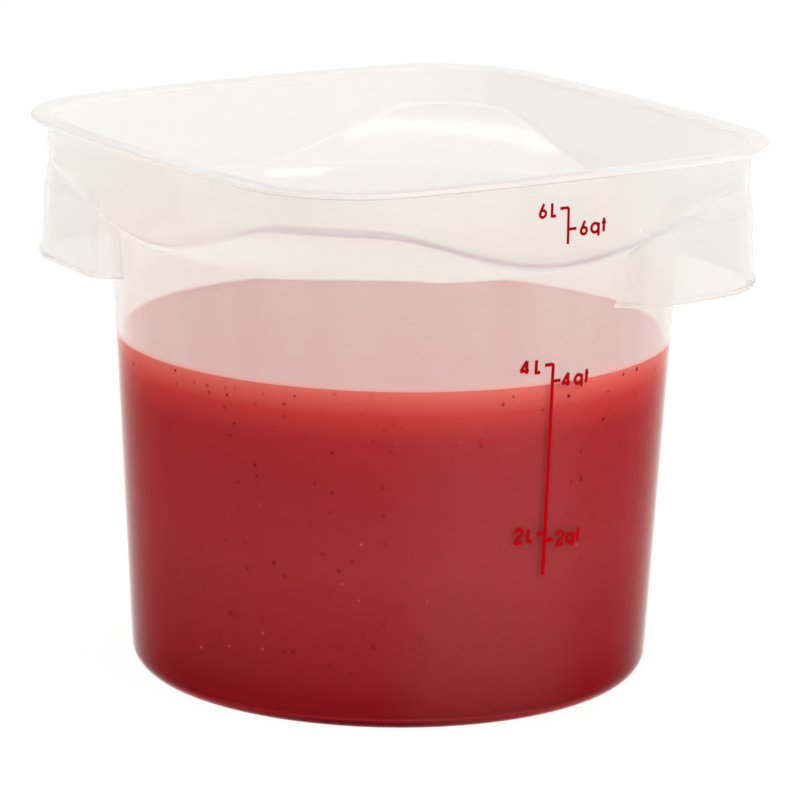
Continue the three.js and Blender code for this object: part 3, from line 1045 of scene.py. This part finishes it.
def digit_six(u, z):
    """A round bowl with a straight stem that touches it on the left."""
    return [arc((u, z + 1.25), (1.25, 1.25), 0, 360), line((u + 0.4, z + 4.85), (u - 1.12, z + 1.8))]


def digit_four(u, z):
    """An open four: an upright, a slant and a bar."""
    upright = line((u, z + 4.85), (u, z))
    slant = line((u, z + 4.8), (u - 2.37, z + 1.15))
    return [upright, slant, line((u - 2.6, z + 1.15), (u + 0.95, z + 1.15))]


def digit_two(u, z):
    """A round head, a slant and a level foot."""
    head = arc((u, z + 3.6), (1.45, 1.45), 165, -38)
    return [np.concatenate([head, [(u - 1.55, z + 0.2)]]), line((u - 1.7, z), (u + 1.65, z))]


def litre(u, z):
    """A capital L."""
    return [line((u, z + 4.7), (u, z - 0.4)), line((u - 0.2, z), (u + 1.8, z))]


def quart(u, z):
    """The letters q and t, on a common baseline."""
    bowl = arc((u, z + 1.75), (1.6, 1.65), 0, 360)
    tail = line((u + 1.6, z + 3.5), (u + 1.6, z - 1.25))
    stem = line((u + 3.9, z + 5), (u + 3.9, z))
    return [bowl, tail, stem, line((u + 3.05, z + 3.4), (u + 4.85, z + 3.4))]


print("strokes in a four:", len(digit_four(0, 0)))

# %% [markdown]
# The scale follows the wall. Across, it is measured along the wall from the middle of the side; up, it is the
# height over the table. Each stroke becomes a very thin ribbon of ink with a rectangular section, which sinks
# a hair into the plastic and stands a hair out of it.

# %% Ink ribbons
INK_SINK = 0.05 * MM
LONGEST_STROKE_STEP = 0.5
SCALE_SIDE = -np.pi / 4


def on_wall(u, z, lift):
    """Points on the side with the scale: azimuth from the way along the wall, and its radius plus a lift."""
    upper = SCALE_SIDE + np.arctan2(u, wall_flat(z))
    lower = SCALE_SIDE + u / body_radius(z)
    on_upper_wall = z > SIDE_CREASE_Z
    azimuth = np.where(on_upper_wall, upper, lower)
    radius = np.where(on_upper_wall, outline_radius(wall_flat(z), upper), body_radius(z)) + lift
    return np.stack([radius * np.cos(azimuth), radius * np.sin(azimuth), z], -1)


def ribbon(stroke, width, lift):
    """Points of a stroke's ribbon, four to a row: two edges of its face and two of its underside.

    The width goes evenly from its first value to its last.
    """
    lengths = np.linalg.norm(np.diff(stroke, axis=0), axis=1)
    along = np.concatenate([[0], np.cumsum(lengths)])
    count = int(np.ceil(along[-1] / LONGEST_STROKE_STEP)) + 1
    even = np.linspace(0, along[-1], count)
    path = np.stack([np.interp(even, along, stroke[:, 0]), np.interp(even, along, stroke[:, 1])], -1)
    ahead = np.gradient(path, axis=0)
    if np.allclose(stroke[0], stroke[-1]):
        ahead[0] = ahead[-1] = path[1] - path[-2]
    ahead = unit(ahead)
    across = np.stack([-ahead[:, 1], ahead[:, 0]], -1) * np.linspace(*width, count)[:, None] / 2
    left, right = ((path + across) * MM).T, ((path - across) * MM).T
    face = [on_wall(*left, lift), on_wall(*right, lift)]
    underside = [on_wall(*right, -INK_SINK), on_wall(*left, -INK_SINK)]
    return np.stack(face + underside, axis=1)


def ribbon_mesh(name, ribbons):
    """One mesh of many ribbons: four faces from row to row, and capped ends, or a seam if it is a ring."""
    points, faces = [], []
    offset = 0
    for rows in ribbons:
        ring = np.allclose(rows[0], rows[-1], atol=1e-7)
        rows = rows[:-1] if ring else rows
        here = offset + np.arange(len(rows) * 4).reshape(-1, 4)
        beside = np.roll(here, -1, axis=1)
        band = np.stack([here, beside, np.roll(beside, -1, axis=0), np.roll(here, -1, axis=0)], -1)
        faces += (band if ring else band[:-1]).reshape(-1, 4).tolist()
        faces += [] if ring else [here[0, ::-1].tolist(), here[-1].tolist()]
        points.append(rows.reshape(-1, 3))
        offset += here.size
    return mesh_object(name, np.concatenate(points), faces)


print("ink sinks", round(INK_SINK / MM, 2), "mm into the wall")

# %% [markdown]
# Three pairs of marks make the scale: the top one on a short line of its own on the upper wall, the other two
# on a long line on the round body. The print is broader lower down. Strokes that cross differ a little in
# thickness, so no two faces coincide.

# %% Marks
INK_LIFT = 0.05 * MM
INK_STEP = 0.008 * MM
INK_LAYERS = 5
TICK = 3.6
LITRE_DIGIT = (-11.1, -2.5)
LITRE_UNIT = (-7.2, -2.45)
QUART_DIGIT = (6.9, -2.45)
QUART_UNIT = (11.85, -2.4)
UPPER_LINE = ((0.7, 192.8), (0.9, 179.5))
LOWER_LINE = ((-1.4, 135.5), (-0.85, 56.4))
LINE_TOP_WIDTH = 1.35
LINE_FOOT_WIDTH = 1.75
SIX_HEIGHTS = (192.75, 184.9)
FOUR_HEIGHTS = (135.4, 129.05)
TWO_HEIGHTS = (72.4, 69.45)
FINE_PRINT = 1.1
MIDDLE_PRINT = 1.3
BROAD_PRINT = 1.45


def along_line(ends, z):
    """Distance along the wall of a printed line at a height."""
    (top_u, top_z), (low_u, low_z) = ends
    return top_u + (low_u - top_u) * (top_z - z) / (top_z - low_z)


def mark(digit, ends, litre_z, quart_z):
    """Strokes of one pair of marks beside a line: tick, digit and unit on each side."""
    left, right = along_line(ends, litre_z), along_line(ends, quart_z)
    strokes = [line((left - TICK, litre_z), (left, litre_z)), line((right, quart_z), (right + TICK, quart_z))]
    strokes += digit(left + LITRE_DIGIT[0], litre_z + LITRE_DIGIT[1])
    strokes += litre(left + LITRE_UNIT[0], litre_z + LITRE_UNIT[1])
    strokes += digit(right + QUART_DIGIT[0], quart_z + QUART_DIGIT[1])
    return strokes + quart(right + QUART_UNIT[0], quart_z + QUART_UNIT[1])


sixes = [line(*UPPER_LINE), *mark(digit_six, UPPER_LINE, *SIX_HEIGHTS)]
fours = mark(digit_four, LOWER_LINE, *FOUR_HEIGHTS)
twos = mark(digit_two, LOWER_LINE, *TWO_HEIGHTS)
strokes = [line(*LOWER_LINE), *sixes, *fours, *twos]
widths = [(LINE_TOP_WIDTH, LINE_FOOT_WIDTH)]
for group, width in ((sixes, FINE_PRINT), (fours, MIDDLE_PRINT), (twos, BROAD_PRINT)):
    widths += [(width, width)] * len(group)
lifts = [INK_LIFT + INK_STEP * (k % INK_LAYERS) for k in range(len(widths))]
scale_print = ribbon_mesh("scale_print", [ribbon(s, w, h) for s, w, h in zip(strokes, widths, lifts)])
scale_print.data.set_sharp_from_angle(angle=SHARP_TURN)
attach(scale_print, "root")
print("strokes", len(widths), "faces", len(scale_print.data.polygons))

# %% [markdown]
# Screen ink is a dense, nearly flat red. Its film is a little uneven, so the shade and the gloss drift
# slightly over fractions of a millimetre. It looks deeper on the pale wall at the top than in front of the
# food. Part of the lamps' light goes through it, so that its shadow on the food isn't black.

# %% Scale ink
INK_LIGHT_SHARE = 0.65
INK_GRAIN = 0.9 * MM
INK_LOW_Z = 110 * MM
INK_HIGH_Z = 180 * MM
LOW_INK = (colour(157, 0, 4), colour(175, 1, 8))
HIGH_INK = (colour(138, 0, 10), colour(156, 1, 15))
INK_ROUGHNESS = (0.42, 0.58)
INK_SPECULAR = 0.02

ink, tree = new_material("scale_ink")
film = node(tree, "ShaderNodeTexNoise", Vector=place_on(tree), Scale=1 / INK_GRAIN, Detail=3.0).outputs["Fac"]
height = ranged(tree, coordinate(tree, "Z"), INK_LOW_Z, INK_HIGH_Z)
low_tone = blended_colour(tree, film, *LOW_INK)
high_tone = blended_colour(tree, film, *HIGH_INK)
tone = blended_colour(tree, height, low_tone, high_tone)
gloss = ranged(tree, film, 0, 1, *INK_ROUGHNESS)
dense = shader(tree, "Principled", Base_Color=tone, Roughness=gloss, Specular_IOR_Level=INK_SPECULAR)
passed = maths(tree, "MULTIPLY", rays(tree, "Shadow"), INK_LIGHT_SHARE)
set_surface(tree, blended(tree, passed, dense, shader(tree, "Transparent", Color=WHITE)))
scale_print.data.materials.append(ink)
print("ink on", scale_print.name)

# %% [markdown]
# ## Food
# The puree fills the round part of the tub. Its side follows the wall, and its top is a nearly level sheet
# with soft ripples and a thin rise where it clings to the wall. Straight waves would weave a lattice, so
# their directions turn by the golden angle and two slow sines bend them.

# %% Food surface
FOOD_GAP = 0.08 * MM
RIPPLE_HEIGHT = 0.15 * MM
RIPPLE_COUNT = 9
LONGEST_RIPPLE = 62 * MM
RIPPLE_SHRINK = 0.82
RIPPLE_BEND = 7 * MM
RIPPLE_PHASE = 2.1
RIPPLE_FADE = 6 * MM
BEND_LENGTH_X = 19 * MM
BEND_LENGTH_Y = 15 * MM
BEND_PHASE = 1
GOLDEN_ANGLE = np.pi * (3 - np.sqrt(5))
CLING_HEIGHT = 0.8 * MM
CLING_WIDTH = 1.4 * MM


def food_side(z):
    """Radius of the food at a height: the inside of the wall less a hair's breadth."""
    return body_radius(z) - (WALL + FOOD_GAP) * np.hypot(1, np.tan(BODY_DRAFT))


def ripple(x, y):
    """Height of the surface waves: ever shorter and lower cosines, each turned by the golden angle.

    Two slow sines bend the plane first, so that no crest is straight.
    """
    bent_x = x + RIPPLE_BEND * np.sin(y / BEND_LENGTH_Y + BEND_PHASE)
    bent_y = y + RIPPLE_BEND * np.sin(x / BEND_LENGTH_X)
    total = 0
    for k in range(RIPPLE_COUNT):
        size = RIPPLE_SHRINK**k
        angle = GOLDEN_ANGLE * k
        along = bent_x * np.cos(angle) + bent_y * np.sin(angle)
        total = total + size * np.cos(2 * np.pi * along / (LONGEST_RIPPLE * size) + RIPPLE_PHASE * k)
    return RIPPLE_HEIGHT * total


def top_offset(x, y, from_wall):
    """Height of the top over its clinging edge: ripples that fade out at the wall, less the fall from it."""
    fade = 1 - np.exp(-from_wall / RIPPLE_FADE)
    return ripple(x, y) * fade - CLING_HEIGHT * (1 - np.exp(-from_wall / CLING_WIDTH))


print("longest ripple", round(LONGEST_RIPPLE / MM), "mm")

# %% [markdown]
# The rows of the food run from the middle of its underside round the edge, up the wall and back along the top
# to the axis. The rings on top crowd towards the wall, where the cling bends most.

# %% Food shape
TOP_RINGS = 70
FOOD_STEPS = 300
RING_CROWDING = 1.35

azimuth = np.linspace(0, 2 * np.pi, FOOD_STEPS, endpoint=False)
corners = [
    corner_point(0, food_low.z),
    corner_point(food_side(food_low.z), food_low.z, BASE_EDGE_RADIUS - WALL - FOOD_GAP),
    corner_point(food_side(food_high.z), food_high.z),
]
side_rows = np.concatenate(rounded(corners, 2 * ARC_STEPS))
side_rows = densified(side_rows[:, None, :], LONGEST_ROW)[:, 0]
edge_radius = side_rows[-1, 0]
ring_radius = edge_radius * (1 - np.linspace(0, 1, TOP_RINGS + 1) ** RING_CROWDING)[1:]
radius = np.concatenate([side_rows[:, 0], ring_radius])
height = np.concatenate([side_rows[:, 1], np.full(TOP_RINGS, food_high.z)])
x = radius[:, None] * np.cos(azimuth)
y = radius[:, None] * np.sin(azimuth)
z = height[:, None] + 0 * x
on_top = np.arange(len(radius)) >= len(side_rows) - 1
z[on_top] += top_offset(x[on_top], y[on_top], edge_radius - radius[on_top][:, None])
puree = solid_of_rows("puree", np.stack([x, y, z], -1))
puree.data.set_sharp_from_angle(angle=SHARP_TURN)
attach(puree, "root")
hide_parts("food_fill")
print("puree faces", len(puree.data.polygons), "top at", round(z.max() / MM, 2), "mm")

# %% [markdown]
# Fine seeds and paler shreds are scattered through the puree. They are cells of a three-dimensional cell
# pattern: each cell holds one round speck, and three random numbers per cell say whether it is kept, how wide
# it is and how strongly it shows.

# %% Seeds and shreds
SEEDS = {"cell": 3.6 * MM, "kept": 0.6, "widest": 1.3 * MM}
SHREDS = {"cell": 6 * MM, "kept": 0.45, "widest": 0.8 * MM}
SHRED_COLOUR = colour(206, 108, 100)
NARROWEST_SPECK = 0.4
SPECK_CORE = 0.35
FAINTEST_SPECK = 0.25


def specks(tree, cell, kept, widest):
    """1 inside sparse round specks, 0 elsewhere: one speck in each cell, of which only a share is kept."""
    cells = node(tree, "ShaderNodeTexVoronoi", Vector=place_on(tree), Scale=1 / cell, Randomness=1.0)
    chance = node(tree, "ShaderNodeSeparateColor", Color=cells.outputs["Color"]).outputs
    lucky = maths(tree, "LESS_THAN", chance[0], kept)
    edge = ranged(tree, chance[1], 0, 1, NARROWEST_SPECK * widest / cell, widest / cell)
    core = maths(tree, "MULTIPLY", edge, SPECK_CORE)
    dot = ranged(tree, cells.outputs["Distance"], core, edge, 1.0, 0.0, smooth=True)
    strength = ranged(tree, chance[2], 0, 1, FAINTEST_SPECK, 1.0)
    return maths(tree, "MULTIPLY", maths(tree, "MULTIPLY", lucky, dot), strength)


def with_specks(tree, flesh, seed_colour):
    """The flesh colour with dark seeds and a few paler shreds."""
    seeded = blended_colour(tree, specks(tree, **SEEDS), flesh, seed_colour)
    return blended_colour(tree, specks(tree, **SHREDS), seeded, SHRED_COLOUR)


print("seed cells", round(SEEDS["cell"] / MM, 1), "mm, shred cells", round(SHREDS["cell"] / MM, 1), "mm")

# %% [markdown]
# The puree is painted lighter just under its top, where light comes in from above, and darker to a deep red
# towards the base, where less light reaches; the depth colour is a ramp over height that paints this light and
# shade. A thin lighter edge at the very bottom is painted light from the table. Pressed against the plastic it
# has no gloss of its own; the open top is a little glossy and has a finish of its own.

# %% Food finish
SIDE_SEED = colour(108, 18, 22)
SIDE_ROUGHNESS = 0.5
TOP_FLESH = colour(176, 53, 51)
TOP_SEED = colour(110, 22, 24)
TOP_ROUGHNESS = 0.4
TOP_SPECULAR = 0.17
FACES_UP = 0.5
# Painted light and shade by height: a light edge at the very bottom, dark near the base, lighter under the
# top.
LIGHT_BY_DEPTH_COLOURS = [
    (0.0, colour(205, 46, 58)),
    (0.008, colour(142, 17, 27)),
    (0.05, colour(127, 15, 26)),
    (0.14, colour(136, 29, 37)),
    (0.45, colour(148, 43, 46)),
    (0.72, colour(150, 38, 42)),
    (0.84, colour(156, 38, 41)),
    (0.92, colour(181, 52, 51)),
    (0.975, colour(204, 88, 79)),
    (1.0, colour(210, 105, 96)),
]


def painted_light_by_depth(tree):
    """Colour of the flesh by its height between the base and the top of the food, with light and shade painted
    in.
    """
    depth = ranged(tree, coordinate(tree, "Z"), food_low.z, food_high.z)
    ramp = node(tree, "ShaderNodeValToRGB", Fac=depth)
    stops = ramp.color_ramp.elements
    for position, _ in LIGHT_BY_DEPTH_COLOURS[2:]:
        stops.new(position)
    for stop, (position, shade) in zip(stops, LIGHT_BY_DEPTH_COLOURS):
        stop.position = position
        stop.color = shade
    return ramp.outputs["Color"]


def add_finish(piece, name, flesh_of, seed_colour, roughness, specular):
    """Adds a speckled finish to a piece; its flesh is a colour, or a function that makes one in the tree."""
    material, tree = new_material(name)
    flesh = flesh_of(tree) if callable(flesh_of) else flesh_of
    seeded = with_specks(tree, flesh, seed_colour)
    gloss = {"Roughness": roughness, "Specular_IOR_Level": specular}
    set_surface(tree, shader(tree, "Principled", Base_Color=seeded, **gloss))
    piece.data.materials.append(material)


add_finish(puree, "fruit_puree", painted_light_by_depth, SIDE_SEED, SIDE_ROUGHNESS, 0.0)
add_finish(puree, "puree_surface", TOP_FLESH, TOP_SEED, TOP_ROUGHNESS, TOP_SPECULAR)
faces_up = face_values(puree.data, "normal")[:, 2] > FACES_UP
puree.data.polygons.foreach_set("material_index", faces_up.astype(np.int32))
print("depth colours", len(LIGHT_BY_DEPTH_COLOURS), "faces on top", int(faces_up.sum()))
